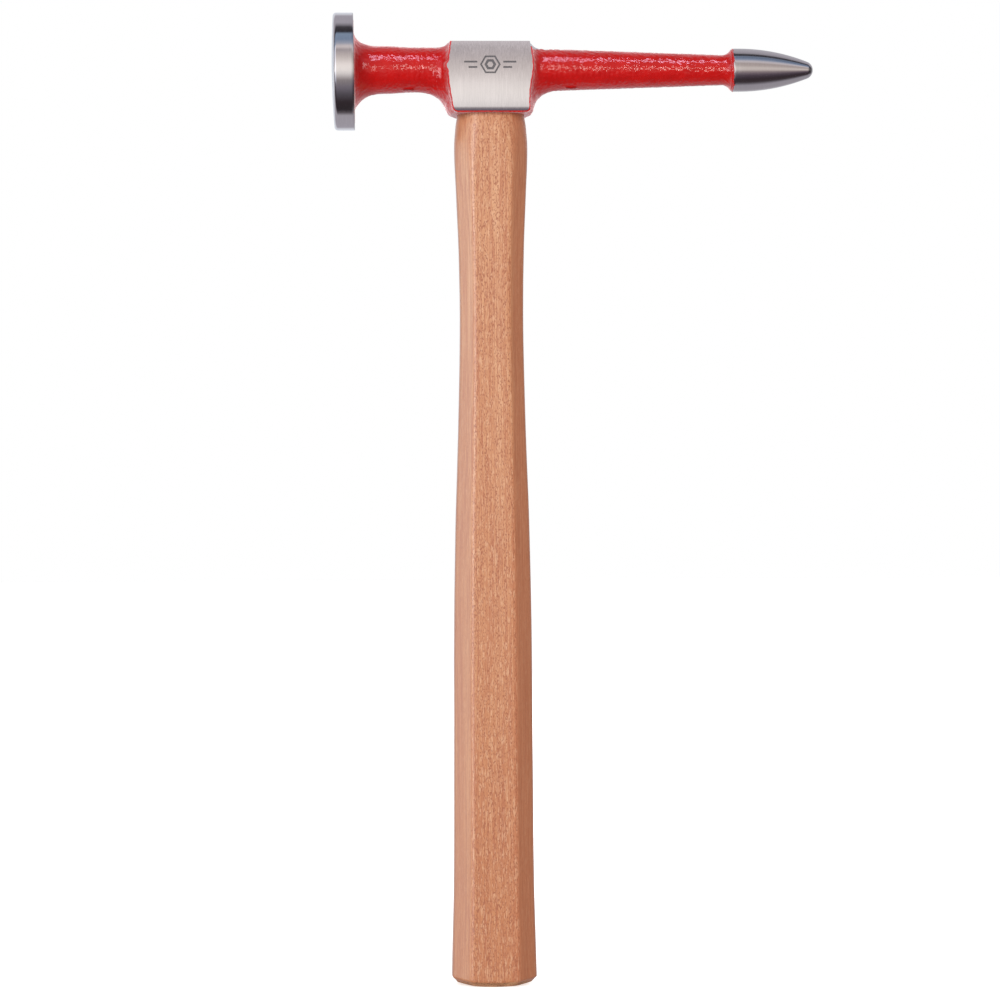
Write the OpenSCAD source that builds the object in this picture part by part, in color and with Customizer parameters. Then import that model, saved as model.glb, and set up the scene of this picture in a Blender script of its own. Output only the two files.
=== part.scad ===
// Panel beater's pick hammer: a one-piece forged head with a crowned round face at one end and
// a bullet point at the other, dip enamelled between its ground faces, on a wedged hickory handle.
// It stands on the butt end: +Z runs up the handle to the head, +X points along the pick and
// the origin is the middle of the butt end.

/* [Handle] */
// Width of the grip beside the butt, along the head
butt_width = 28.1; // [26:0.1:31]
// Depth of the grip beside the butt, across the head
butt_depth = 21; // [19:0.1:24]
// Width of the grip where the palm holds it
grip_width = 26; // [24:0.1:28]
// Depth of the grip where the palm holds it
grip_depth = 19.6; // [18:0.1:22]
// Width of the waist, above the grip
waist_width = 21; // [18:0.1:24]
// Depth of the waist
waist_depth = 16.8; // [15:0.1:18]
// Width of the swell under the head
swell_width = 24.4; // [23:0.1:26]
// Depth of the swell under the head
swell_depth = 18.4; // [17:0.1:20]
// Share of the width that the broad front and back flats take
flat_share = 0.57; // [0.45:0.01:0.65]
// Height and width of the chamfer around the butt end
butt_chamfer = 1.6; // [0.5:0.1:3]

/* [Head] */
// Height of the head's axis above the butt end
head_height = 304.4; // [290:0.2:330]
// Diameter of the round striking disk
face_d = 39; // [34:0.2:42]
// Width of the disk's rim
rim_w = 6.8; // [4:0.2:8]
// Rise of the crown in the middle of the striking face
crown = 0.6; // [0.3:0.1:2]
// Distance from the handle's axis to the front of the rim
face_reach = 52.2; // [50:0.1:58]
// Diameter of the neck, bare
neck_d = 14.4; // [13:0.1:15.5]
// Diameter of the pick's shank beside the eye, bare
shank_root_d = 14; // [12:0.1:15]
// Diameter of the pick's shank behind the point, bare
shank_tip_d = 9.5; // [8:0.1:11]
// Distance from the handle's axis to the shoulder behind the point
point_start = 80.6; // [76:0.2:86]
// Diameter of the point
point_d = 14.3; // [13:0.1:16]
// Radius of the point's ogive
ogive_r = 63; // [50:0.5:70]
// Radius of the point's tip
tip_r = 3; // [2:0.1:4]

/* [Eye] */
// Length of the eye block, along the head
block_l = 28; // [27:0.1:31]
// Depth of the eye block, across the head
block_w = 23; // [22:0.1:25]
// Top of the eye block above the head's axis
block_rise = 8.6; // [8:0.1:10]
// Bottom of the eye block below the head's axis
block_drop = 14.7; // [13:0.1:16]
// Radius of the convex ground cheeks
cheek_r = 52; // [45:1:80]
// Length of the eye, along the head
eye_l = 20; // [18:0.1:21]
// Width of the eye, across the head
eye_w = 12.5; // [11:0.1:13]

/* [Wedges] */
// Depth that the wooden wedge reaches into the tenon
wood_wedge_depth = 17; // [12:0.5:20]
// Thickness of the wooden wedge at its top
wood_wedge_t = 2.6; // [1.5:0.1:4]
// Depth that each steel wedge reaches into the tenon
steel_wedge_depth = 12; // [8:0.5:15]
// Width of each steel wedge, across the wooden one
steel_wedge_w = 8.4; // [6:0.1:9.5]
// Thickness of each steel wedge at its top
steel_wedge_t = 1.8; // [1:0.1:2.5]
// Distance of each steel wedge from the handle's axis
steel_wedge_reach = 5.4; // [4:0.1:7]

/* [Coat] */
// Thickness of the dipped enamel
coat_t = 0.3; // [0.2:0.05:0.5]

/* [Hidden] */
$fn = 96;
far = 200;

// Head, measured along its own axis from the handle's axis
face_r = face_d / 2;
rim_round = 1.2;
crown_span = face_r - rim_round;
crown_r = (crown_span * crown_span + crown * crown) / (2 * crown);
disk_back = -face_reach + rim_w;
disk_fillet_r = 5.5;
neck_r = neck_d / 2;
neck_swell = 0.4;
block_end = block_l / 2;
block_edge_r = 2.4;
flare_r = 10.6;
neck_flare = 3.6;
shank_root_r = shank_root_d / 2;
shank_flare = 4.2;
shank_tip_r = shank_tip_d / 2;
point_r = point_d / 2;
shoulder_round = 0.5;
shoulder_len = 3.4;
ogive_start = point_start + 2.4;
ogive_drop = ogive_r - point_r;
tip_centre = ogive_start + sqrt(pow(ogive_r - tip_r, 2) - pow(ogive_drop, 2));
tip_slope = asin((tip_centre - ogive_start) / (ogive_r - tip_r));

// Eye block and the cheeks' highest line, in the object's own frame
block_top = head_height + block_rise;
block_bottom = head_height - block_drop;
cheek_height = head_height - 7;
ground_edge = 1;

// Handle stations: height, width, depth
shoulder_z = block_bottom - coat_t;
entry_width = 22.4;
entry_depth = 17;
tenon_recess = 0.3;
tenon_top = block_top - tenon_recess;
grip_stations = [
    [0, butt_width - 2 * butt_chamfer, butt_depth - 2 * butt_chamfer],
    [butt_chamfer, butt_width, butt_depth],
    [34, (butt_width + 2 * grip_width) / 3 - 0.1, (butt_depth + 2 * grip_depth) / 3],
    [78, grip_width + 0.1, grip_depth],
    [118, grip_width - 0.3, grip_depth - 0.2],
    [154, grip_width - 1.6, grip_depth - 0.8],
    [184, waist_width + 1.4, waist_depth + 0.9],
    [219, waist_width, waist_depth],
    [244, waist_width + 0.6, waist_depth + 0.2],
    [264, swell_width - 1.2, swell_depth - 0.6],
    [shoulder_z - 11, swell_width, swell_depth],
    [shoulder_z - 4, swell_width - 0.8, swell_depth - 0.5],
    [shoulder_z, entry_width, entry_depth]
];
grip_ring_step = 0.25;

// Points of an arc about [x, y] from angle a to angle b, in n steps
function arc(x, y, r, a, b, n) =
    [for (i = [0 : n]) let (t = a + (b - a) * i / n) [x + r * cos(t), y + r * sin(t)]];

// A smooth curve from p[1] to p[2] as t goes from 0 to 1, led by the values on either side
function spline(p, t) =
    0.5 * (2 * p[1] + (p[2] - p[0]) * t
        + (2 * p[0] - 5 * p[1] + 4 * p[2] - p[3]) * t * t
        + (3 * p[1] - p[0] - 3 * p[2] + p[3]) * t * t * t);

// The stations with smooth ones added between them, past the butt chamfer
function station(i) = grip_stations[min(max(i, 1), len(grip_stations) - 1)];
function smooth_stations() =
    concat(
        [grip_stations[0]],
        [for (i = [1 : len(grip_stations) - 2]) for (t = [0 : grip_ring_step : 0.99])
            [for (k = [0 : 2])
                spline([station(i - 1)[k], station(i)[k], station(i + 1)[k], station(i + 2)[k]], t)]],
        [grip_stations[len(grip_stations) - 1]]
    );

// An octagon with broad front and back flats and corners cut at 45 degrees
function octagon(z, w, d) =
    let (flat = flat_share * w / 2, side = d / 2 - (w / 2 - flat))
    [[w / 2, -side, z], [w / 2, side, z], [flat, d / 2, z], [-flat, d / 2, z],
     [-w / 2, side, z], [-w / 2, -side, z], [-flat, -d / 2, z], [flat, -d / 2, z]];

// Profile of the bare forging as [radius, distance along the head], from face to point
function forging_profile() =
    concat(
        [[0, -face_reach - crown]],
        arc(0, crown_r - face_reach - crown, crown_r, -90 + 1, -90 + asin(crown_span / crown_r), 6),
        arc(face_r - rim_round, rim_round - face_reach, rim_round, -75, 0, 5),
        [[face_r, disk_back]],
        arc(neck_r + neck_swell + disk_fillet_r, disk_back + disk_fillet_r, disk_fillet_r,
            270, 180, 8),
        [[neck_r, -block_end - 14], [neck_r, -block_end - neck_flare]],
        flare(neck_r, -block_end - neck_flare, neck_flare, 1),
        reverse(flare(shank_root_r, block_end + shank_flare, shank_flare, -1)),
        [[shank_root_r, block_end + shank_flare], [shank_tip_r, point_start - shoulder_len]],
        arc(shank_tip_r + shoulder_len, point_start - shoulder_len, shoulder_len, 180,
            180 - acos(1 - (point_r - shoulder_round - shank_tip_r) / shoulder_len), 5),
        arc(point_r - shoulder_round, point_start + shoulder_round, shoulder_round, -70, 0, 4),
        arc(-ogive_drop, ogive_start, ogive_r, 0, tip_slope, 14),
        arc(0, tip_centre, tip_r, tip_slope, 88, 8),
        [[0, tip_centre + tip_r]]
    );

// A concave curve that opens from radius r at x to flare_r, over a length along the head
function flare(r, x, length, way) =
    [for (i = [1 : 6]) let (a = 15 * i)
        [flare_r - (flare_r - r) * cos(a), x + way * length * sin(a)]];
function reverse(list) = [for (i = [len(list) - 1 : -1 : 0]) list[i]];

// Turns a profile about the head's axis
module turned_on_head(points) {
    translate([0, 0, head_height])
        rotate([0, 90, 0])
            rotate_extrude()
                polygon(points);
}

// A cube given by its lowest and highest corners
module span_box(low, high) {
    translate(low)
        cube(high - low);
}

// Rectangle with exact round corners
module rounded_rectangle(l, w, r) {
    square([l, w - 2 * r], center = true);
    square([l - 2 * r, w], center = true);
    for (x = [-1, 1])
        for (y = [-1, 1])
            translate([x * (l / 2 - r), y * (w / 2 - r)])
                circle(r);
}

// Eye block with convex cheeks, grown by a coat's thickness at its ends and its underside
module eye_block(grow) {
    intersection() {
        translate([0, 0, block_bottom - grow])
            linear_extrude(block_rise + block_drop + grow)
                rounded_rectangle(block_l + 2 * grow, block_w, block_edge_r);
        cheek_cylinder(1);
        cheek_cylinder(-1);
    }
}

// The large cylinder whose surface is one cheek
module cheek_cylinder(side) {
    translate([0, side * (block_w / 2 - cheek_r), cheek_height])
        rotate([0, 90, 0])
            cylinder(r = cheek_r, h = far, center = true);
}

// Outline of the eye: two flats with round ends
module eye_outline() {
    square([eye_l - eye_w, eye_w], center = true);
    for (x = [-1, 1])
        translate([x * (eye_l - eye_w) / 2, 0])
            circle(eye_w / 2);
}

module eye_column(low, high) {
    translate([0, 0, low])
        linear_extrude(high - low)
            eye_outline();
}

// Everything above the ground top of the eye block, near the block
module over_block_top() {
    span_box([-block_end - 8, -block_w, block_top], [block_end + 8, block_w, block_top + 20]);
}

// The head before its eye is cut
module forging() {
    eye_block(0);
    difference() {
        turned_on_head(forging_profile());
        over_block_top();
    }
}

module hammer_head() {
    color("silver")
        difference() {
            forging();
            eye_column(block_bottom - far, block_top + far);
        }
}

// The forging's neck and shank profile moved out by the coat's thickness, closed on the axis
function coat_profile() =
    concat(
        [[0, disk_back - 1], [face_r - ground_edge, disk_back - 1],
         [face_r - ground_edge, disk_back + coat_t]],
        arc(neck_r + neck_swell + disk_fillet_r, disk_back + disk_fillet_r, disk_fillet_r - coat_t,
            270, 180, 8),
        [[neck_r + coat_t, -block_end - 14], [neck_r + coat_t, -block_end - neck_flare - coat_t]],
        coat_flare(neck_r, -block_end - neck_flare, neck_flare, 1),
        reverse(coat_flare(shank_root_r, block_end + shank_flare, shank_flare, -1)),
        [[shank_root_r + coat_t, block_end + shank_flare + coat_t],
         [shank_tip_r + coat_t, point_start - shoulder_len - coat_t]],
        arc(shank_tip_r + shoulder_len, point_start - shoulder_len, shoulder_len - coat_t, 180,
            180 - acos(1 - (point_r - shoulder_round - shank_tip_r) / shoulder_len), 5),
        [[0, point_start - coat_t]]
    );
function coat_flare(r, x, length, way) =
    [for (p = flare(r, x, length, way)) [p[0] + 0.8 * coat_t, p[1] - way * 0.8 * coat_t]];

module enamel_coat() {
    color("firebrick")
        difference() {
            intersection() {
                union() {
                    turned_on_head(coat_profile());
                    eye_block(coat_t);
                }
                union() {
                    span_box([-far, -block_w / 2 + ground_edge, block_bottom - far],
                             [far, block_w / 2 - ground_edge, block_top]);
                    span_box([-far, -far, 0], [-block_end - neck_flare, far, far + far]);
                }
            }
            forging();
            eye_column(block_bottom - far, block_top + far);
        }
}

// The grip as one closed skin over its octagonal rings
module grip() {
    stations = smooth_stations();
    rings = [for (s = stations) octagon(s[0], s[1], s[2])];
    last = len(rings) - 1;
    points = [for (ring = rings) for (p = ring) p];
    walls = [for (i = [0 : last - 1]) for (k = [0 : 7])
        [8 * i + k, 8 * (i + 1) + k, 8 * (i + 1) + (k + 1) % 8, 8 * i + (k + 1) % 8]];
    bottom = [for (k = [0 : 7]) k];
    top = [for (k = [7 : -1 : 0]) 8 * last + k];
    polyhedron(points = points, faces = concat([bottom], walls, [top]), convexity = 4);
}

module handle() {
    color("burlywood")
        difference() {
            union() {
                grip();
                eye_column(shoulder_z, tenon_top);
            }
            wood_wedge_taper();
            steel_wedge_taper(-1);
            steel_wedge_taper(1);
        }
}

// A wedge outline [thickness, height] with its tip below and its top at the tenon's top
module taper(top_t, depth, tip_t) {
    polygon([[-tip_t / 2, -depth], [tip_t / 2, -depth], [top_t / 2, 0], [-top_t / 2, 0]]);
}

module wood_wedge_taper() {
    translate([0, 0, tenon_top])
        rotate([90, 0, 90])
            linear_extrude(far, center = true)
                taper(wood_wedge_t, wood_wedge_depth, 0.5);
}

module steel_wedge_taper(side) {
    translate([side * steel_wedge_reach, 0, tenon_top])
        rotate([90, 0, 0])
            linear_extrude(steel_wedge_w, center = true)
                taper(steel_wedge_t, steel_wedge_depth, 0.4);
}

module wood_wedge() {
    color("tan")
        difference() {
            intersection() {
                wood_wedge_taper();
                eye_column(shoulder_z, tenon_top);
            }
            steel_wedge_taper(-1);
            steel_wedge_taper(1);
        }
}

module steel_wedge(side) {
    color("gray")
        steel_wedge_taper(side);
}

hammer_head();
enamel_coat();
handle();
wood_wedge();
steel_wedge(-1);  // steel_wedge_front
steel_wedge(1);  // steel_wedge_rear
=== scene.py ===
"""The looks of a panel beater's pick hammer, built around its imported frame: the bare forging,
the dip enamel on it, the hickory handle and its wedges. Lengths are millimetres until a mesh is
made. Along the head, x runs from the striking disk to the point; height z is up the handle."""

import math

import bmesh
import bpy
import numpy as np
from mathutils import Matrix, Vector, noise


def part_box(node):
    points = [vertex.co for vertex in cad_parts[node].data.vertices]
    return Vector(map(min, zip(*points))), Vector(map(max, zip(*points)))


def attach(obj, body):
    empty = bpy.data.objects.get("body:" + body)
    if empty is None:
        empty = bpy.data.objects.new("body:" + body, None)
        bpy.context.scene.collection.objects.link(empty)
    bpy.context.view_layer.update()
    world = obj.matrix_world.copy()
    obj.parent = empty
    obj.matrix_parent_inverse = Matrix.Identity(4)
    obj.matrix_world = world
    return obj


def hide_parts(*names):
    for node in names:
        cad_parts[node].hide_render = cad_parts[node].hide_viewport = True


MM = 0.001
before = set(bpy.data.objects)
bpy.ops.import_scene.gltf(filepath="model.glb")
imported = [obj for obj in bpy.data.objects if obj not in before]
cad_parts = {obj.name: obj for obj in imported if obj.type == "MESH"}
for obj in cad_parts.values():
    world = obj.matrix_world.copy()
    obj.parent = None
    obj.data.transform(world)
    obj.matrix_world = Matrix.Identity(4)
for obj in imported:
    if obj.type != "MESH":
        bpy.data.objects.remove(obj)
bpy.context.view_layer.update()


def box_mm(node):
    """A CAD node's lowest and highest corners in millimetres."""
    low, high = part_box(node)
    return np.array(low) / MM, np.array(high) / MM


HEAD_LOW, HEAD_HIGH = box_mm("hammer_head")
WEDGE_LOW, WEDGE_HIGH = box_mm("steel_wedge_rear")

# The forging, close to the design: R is a radius, L a length along the head, W a width across it
AXIS_Z = (HEAD_LOW[2] + HEAD_HIGH[2]) / 2
FACE_R = (HEAD_HIGH[2] - HEAD_LOW[2]) / 2
CROWN = 0.6
RIM_ROUND = 1.2
RIM_FRONT = HEAD_LOW[0] + CROWN
DISK_BACK = box_mm("enamel_coat")[0][0]
BACK_ROUND = 0.3
FILLET_R = 5.65
FILLET_REACH = 8.65
FILLET_SAG = 1.35
NECK_START = DISK_BACK + 10.8
NECK_R = 7.2
NECK_SWELL = 0.45
DISK_LOW = 0.55
DISK_LEAN = 0.012
DISK_FADE = (DISK_BACK + 0.5, DISK_BACK + 5.0)
BLOCK_LEFT = 14.0
BLOCK_RIGHT = 13.4
BLOCK_W = 23.0
BLOCK_RISE = 8.6
BLOCK_DROP = 14.7
CHEEK_R = 52.0
CHEEK_Z = -7.0
CHEEK_BACK = CHEEK_R - BLOCK_W / 2
SHANK_ROOT_R = 6.95
SHANK_TIP_R = 4.75
POINT_START = 80.6
POINT_R = 7.15
SHOULDER_LEN = 3.4
SHOULDER_ROUND = 0.5
STRAIGHT = 2.4
OGIVE_R = 63.0
TIP_R = 3.0
COAT = 0.3
EYE_L = 20.0
EYE_W = 12.5
EYE_HALF = (EYE_L - EYE_W) / 2
TENON_TOP = box_mm("handle")[1][2]
SHOULDER_Z = AXIS_Z - BLOCK_DROP - COAT


# ---------------------------------------------------------------- meshes

def make_object(name, points_mm, faces, smooth=True):
    """A mesh object from points in millimetres and faces of point numbers."""
    mesh = bpy.data.meshes.new(name)
    mesh.from_pydata((np.asarray(points_mm) * MM).tolist(), [], faces)
    mesh.validate()
    mesh.update()
    mesh.polygons.foreach_set("use_smooth", [smooth] * len(mesh.polygons))
    ob = bpy.data.objects.new(name, mesh)
    bpy.context.collection.objects.link(ob)
    return ob


def grid_faces(rings, sides):
    """Quads between closed rings of points, ring after ring."""
    return [
        (i * sides + j, i * sides + (j + 1) % sides,
         (i + 1) * sides + (j + 1) % sides, (i + 1) * sides + j)
        for i in range(rings - 1) for j in range(sides)
    ]


def closed_tube(name, rings):
    """A solid through rings of points, with a flat cap at each end."""
    sides = len(rings[0])
    faces = grid_faces(len(rings), sides)
    faces.append(tuple(reversed(range(sides))))
    faces.append(tuple((len(rings) - 1) * sides + k for k in range(sides)))
    return make_object(name, np.vstack(rings), faces)


def face_outward(ob):
    """Turns a closed mesh's faces so that they all look outward."""
    bm = bmesh.new()
    bm.from_mesh(ob.data)
    bmesh.ops.recalc_face_normals(bm, faces=bm.faces)
    bm.to_mesh(ob.data)
    bm.free()
    return ob


def apply_modifiers(ob):
    """Makes what an object's modifiers do part of its mesh."""
    graph = bpy.context.evaluated_depsgraph_get()
    mesh = bpy.data.meshes.new_from_object(ob.evaluated_get(graph))
    ob.modifiers.clear()
    ob.data = mesh


def cut(ob, cutter):
    """Takes the cutter's volume out of an object and removes the cutter."""
    change = ob.modifiers.new("cut", "BOOLEAN")
    change.operation = "DIFFERENCE"
    change.solver = "MANIFOLD"
    change.object = cutter
    apply_modifiers(ob)
    bpy.data.objects.remove(cutter)


def crease(ob, degrees):
    """Shades edges sharper than an angle as edges, and the rest as smooth."""
    ob.data.polygons.foreach_set("use_smooth", [True] * len(ob.data.polygons))
    ob.data.set_sharp_from_angle(angle=math.radians(degrees))


def set_materials(ob, *materials):
    """Gives an object these materials and no others."""
    ob.data.materials.clear()
    for material in materials:
        ob.data.materials.append(material)


def paint_faces(ob, materials, choose):
    """Gives each face the material that choose(centre, normal) numbers, in millimetres."""
    set_materials(ob, *materials)
    count = len(ob.data.polygons)
    centre, normal = np.empty(count * 3), np.empty(count * 3)
    ob.data.polygons.foreach_get("center", centre)
    ob.data.polygons.foreach_get("normal", normal)
    index = choose(centre.reshape(-1, 3) / MM, normal.reshape(-1, 3))
    ob.data.polygons.foreach_set("material_index", index.astype(int).tolist())


def arc(x, y, r, a, b, n):
    """n + 1 points of an arc about (x, y), from angle a to angle b in degrees."""
    t = np.radians(np.linspace(a, b, n + 1))
    return np.column_stack([x + r * np.cos(t), y + r * np.sin(t)])


def line(p, q, n):
    """n points from p towards q, without q."""
    t = np.linspace(0, 1, n, endpoint=False)[:, None]
    return np.asarray(p) * (1 - t) + np.asarray(q) * t


def ease(a, b, x):
    """0 below a, 1 above b and a smooth step between them."""
    t = np.clip((x - a) / (b - a), 0, 1)
    return t * t * (3 - 2 * t)


# ---------------------------------------------------------------- the forging's surface

def cheek_radius(theta):
    """Distance from the head's axis to a cheek, in a direction about the axis."""
    across, up = np.abs(np.cos(theta)), np.sin(theta)
    b = across * CHEEK_BACK - up * CHEEK_Z
    return -b + np.sqrt(b * b - CHEEK_BACK ** 2 - CHEEK_Z ** 2 + CHEEK_R ** 2)


# How a cheek rolls over at its lower edge, and how far the grinding tools reach
ROLL_START = 1.45 - BLOCK_DROP
ROLL_R = 4.2
ROLL_TURN = 20
PAST_ROLL = 2.5
PAST_TOP = 4.0
TOOL_REACH = 18.0
FAR = 25.0


def cheek_outline():
    """Points (y, z) down the back cheek, which rolls over at its lower edge."""
    z = np.linspace(BLOCK_RISE + PAST_TOP, ROLL_START, 66)
    y = np.sqrt(CHEEK_R ** 2 - (z - CHEEK_Z) ** 2) + BLOCK_W / 2 - CHEEK_R
    lean = math.degrees(math.asin((ROLL_START - CHEEK_Z) / CHEEK_R))
    turn = math.radians(lean)
    centre = y[-1] - ROLL_R * math.cos(turn), ROLL_START - ROLL_R * math.sin(turn)
    roll = arc(*centre, ROLL_R, lean, lean - ROLL_TURN, 12)
    step = roll[-1] - roll[-2]
    past = roll[-1] + step * PAST_ROLL / np.linalg.norm(step)
    return np.vstack([np.column_stack([y, z])[:-1], roll, [past]])


def ground_tools(shift):
    """Cutters for what grinding took off the eye block: its two cheeks and its top. shift moves
    each one inward."""
    cheek = cheek_outline() - [shift, 0]
    outline = np.vstack([cheek, [[FAR, cheek[-1][1]], [FAR, cheek[0][1]]]])
    ends = (-TOOL_REACH, TOOL_REACH)
    tools = []
    for way in (-1, 1):
        rings = [to_world(np.column_stack([np.full(len(outline), x), way * outline[:, 0],
                                           outline[:, 1]])) for x in ends]
        tools.append(face_outward(closed_tube("cheek_tool", rings)))
    low, high = BLOCK_RISE - shift, FAR
    rings = [to_world(np.array([[x, -FAR, low], [x, FAR, low], [x, FAR, high], [x, -FAR, high]]))
             for x in ends]
    tools.append(face_outward(closed_tube("top_tool", rings)))
    return tools


# Points around the head's axis, how much closer they lie at an edge and how far around it
SIDES = 200
CLOSER = 2.5
CLOSE_TO_EDGE = 0.1


def angles():
    """Directions about the head's axis, closer together at the eye block's lower edges."""
    low = math.atan2(-BLOCK_DROP + 1.0, BLOCK_W / 2 - 1.0)
    edges = [low, -math.pi - low]
    t = np.linspace(-math.pi, math.pi, 7201)
    weight = np.ones_like(t)
    for e in edges:
        away = np.abs((t - e + math.pi) % (2 * math.pi) - math.pi)
        weight += CLOSER * np.exp(-(away / CLOSE_TO_EDGE) ** 2)
    total = np.concatenate([[0], np.cumsum((weight[1:] + weight[:-1]) / 2)])
    return np.interp(np.linspace(0, total[-1], SIDES, endpoint=False), total, t)


THETA = angles()
UP = np.sin(THETA)
BLOCK_ZONE = 26.0


def disk_profile(reach):
    """[radius, x] from the middle of the striking face to the neck. The fillet between them
    reaches this far along the neck."""
    span = FACE_R - RIM_ROUND
    crown_r = (span ** 2 + CROWN ** 2) / (2 * CROWN)
    edge = math.degrees(math.asin(span / crown_r))
    neck = NECK_R + NECK_SWELL
    return np.vstack([
        arc(0, RIM_FRONT - CROWN + crown_r, crown_r, -89.9, -90 + edge, 20),
        arc(span, RIM_FRONT + RIM_ROUND, RIM_ROUND, -84, 0, 12),
        line([FACE_R, RIM_FRONT + RIM_ROUND + 0.3], [FACE_R, DISK_BACK - BACK_ROUND], 6),
        arc(FACE_R - BACK_ROUND, DISK_BACK - BACK_ROUND, BACK_ROUND, 0, 90, 6),
        line([FACE_R - 0.8, DISK_BACK], [neck + FILLET_R, DISK_BACK], 14),
        arc(0, 0, 1, 270, 180, 22) * [FILLET_R, reach] + [neck + FILLET_R, DISK_BACK + reach],
        line([neck, DISK_BACK + reach + 0.2], [neck, NECK_START], 4),
    ])


def disk_curves():
    """The disk, whose fillet reaches further along the neck on the underside, where the enamel
    ran."""
    return np.stack([disk_profile(FILLET_REACH - FILLET_SAG * up) for up in UP], axis=1)


def neck_curves():
    """The neck, which narrows a little towards the eye block."""
    x = np.linspace(NECK_START, -BLOCK_ZONE, 34)
    t = (x - x[0]) / (x[-1] - x[0])
    return turned(np.column_stack([NECK_R + NECK_SWELL * (1 - ease(0, 1, t)), x])[:-1])


def shank_r(x):
    """The bare shank's radius at x."""
    t = (x - BLOCK_RIGHT) / (POINT_START - SHOULDER_LEN - BLOCK_RIGHT)
    return SHANK_ROOT_R + (SHANK_TIP_R - SHANK_ROOT_R) * t


def point_profile():
    """[radius, x] from the shank to the point's tip."""
    x = np.linspace(BLOCK_ZONE, POINT_START - SHOULDER_LEN, 170)
    lift = math.degrees(math.acos(
        1 - (POINT_R - SHOULDER_ROUND - SHANK_TIP_R) / SHOULDER_LEN))
    start = POINT_START + STRAIGHT
    drop = OGIVE_R - POINT_R
    centre = start + math.sqrt((OGIVE_R - TIP_R) ** 2 - drop ** 2)
    slope = math.degrees(math.asin((centre - start) / (OGIVE_R - TIP_R)))
    return np.vstack([
        np.column_stack([shank_r(x), x]),
        arc(SHANK_TIP_R + SHOULDER_LEN, POINT_START - SHOULDER_LEN, SHOULDER_LEN,
            180, 180 - lift, 16)[1:],
        arc(POINT_R - SHOULDER_ROUND, POINT_START + SHOULDER_ROUND, SHOULDER_ROUND, -70, 0, 6),
        line([POINT_R, POINT_START + 1.0], [POINT_R, start], 4),
        arc(-drop, start, OGIVE_R, 0, slope, 44),
        arc(0, centre, TIP_R, slope, 89.5, 12)[1:],
    ])


# What grinding takes off the eye block's cheeks and top, and the radius of its forged edges
CHEEK_EXTRA = 0.6
TOP_EXTRA = 2.2
EDGE_R = 1.2

# How the block's ends draw in above and below the height where they stand out most
BULGE_Z = 0.5
LEFT_ABOVE, LEFT_BELOW, LEFT_CORNERS, LEFT_SHIFT = 0.011, 0.0011, 0.0058, 0.05
RIGHT_ABOVE, RIGHT_CORNERS, RIGHT_FALL, RIGHT_SHIFT = 0.0123, 1.04, 5.5, 0.2
BUMP, BUMP_Z, BUMP_HALF = 0.62, 0.3, 1.15

# Width of the block's blends at the top, and what the underside adds to it
NECK_BLEND = (4.4, 6.4)
SHANK_BLEND = (4.8, 4.6)


def end_inset(x, y, z):
    """How far an end of the eye block draws in: barrel shaped, a little uneven, and with a small
    bump left standing at the front cheek's left edge."""
    up, down = np.maximum(z - BULGE_Z, 0), np.maximum(BULGE_Z - z, 0)
    beside = ease(3.5, 10.0, np.abs(y))
    left = LEFT_ABOVE * up ** 2 + (LEFT_BELOW + LEFT_CORNERS * beside) * down ** 2 - LEFT_SHIFT
    fall = 1 - np.exp(-(down / RIGHT_FALL) ** 2)
    right = RIGHT_ABOVE * up ** 2 + RIGHT_CORNERS * fall * beside - RIGHT_SHIFT
    waves = 0.05 * np.sin(1.9 * z + 0.9 * y + np.where(x < 0, 0.4, 2.0))
    waves += 0.035 * np.sin(4.3 * z - 0.8 * y)
    bump = BUMP * np.exp(-((z - BUMP_Z) / BUMP_HALF) ** 4) * (x < 0) * ease(7.5, 10.5, -y)
    return np.where(x < 0, left, right) + waves - bump


def block_gap(x, y, z):
    """Signed distance to the eye block as forged, before its cheeks and top are ground."""
    ends = np.where(x < 0, -x - BLOCK_LEFT, x - BLOCK_RIGHT) + end_inset(x, y, z)
    cheeks = np.hypot(np.abs(y) + (CHEEK_BACK - CHEEK_EXTRA), z - CHEEK_Z) - CHEEK_R
    flats = np.maximum(z - BLOCK_RISE - TOP_EXTRA, -BLOCK_DROP - z)
    q = np.stack([ends, cheeks, flats]) + EDGE_R
    outside = np.sqrt((np.maximum(q, 0) ** 2).sum(axis=0))
    return outside + np.minimum(q.max(axis=0), 0) - EDGE_R


def forged_gap(x, y, z):
    """Signed distance to the forging: the block blended with the neck and the shank. The blends
    widen towards the underside, most of all on the disk's side."""
    across = np.hypot(y, z)
    below = 0.5 - 0.5 * z / np.maximum(across, 1e-6)
    neck, shank = (top + more * below ** 2 for top, more in (NECK_BLEND, SHANK_BLEND))
    width = np.where(x < 0, neck, shank)
    round_part = across - np.where(x < 0, NECK_R, shank_r(np.maximum(x, 0)))
    block = block_gap(x, y, z)
    h = np.clip(0.5 + 0.5 * (block - round_part) / width, 0, 1)
    return block * (1 - h) + round_part * h - width * h * (1 - h)


def forged_radius(x, theta):
    """The radius at which a ray from the head's axis leaves the forging."""
    x, theta = np.broadcast_arrays(x, theta)
    low = np.full(x.shape, 2.0)
    high = np.full_like(low, 26.0)
    for _ in range(26):
        mid = (low + high) / 2
        inside = forged_gap(x, mid * np.cos(theta), mid * np.sin(theta)) < 0
        low, high = np.where(inside, mid, low), np.where(inside, high, mid)
    return (low + high) / 2


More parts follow.
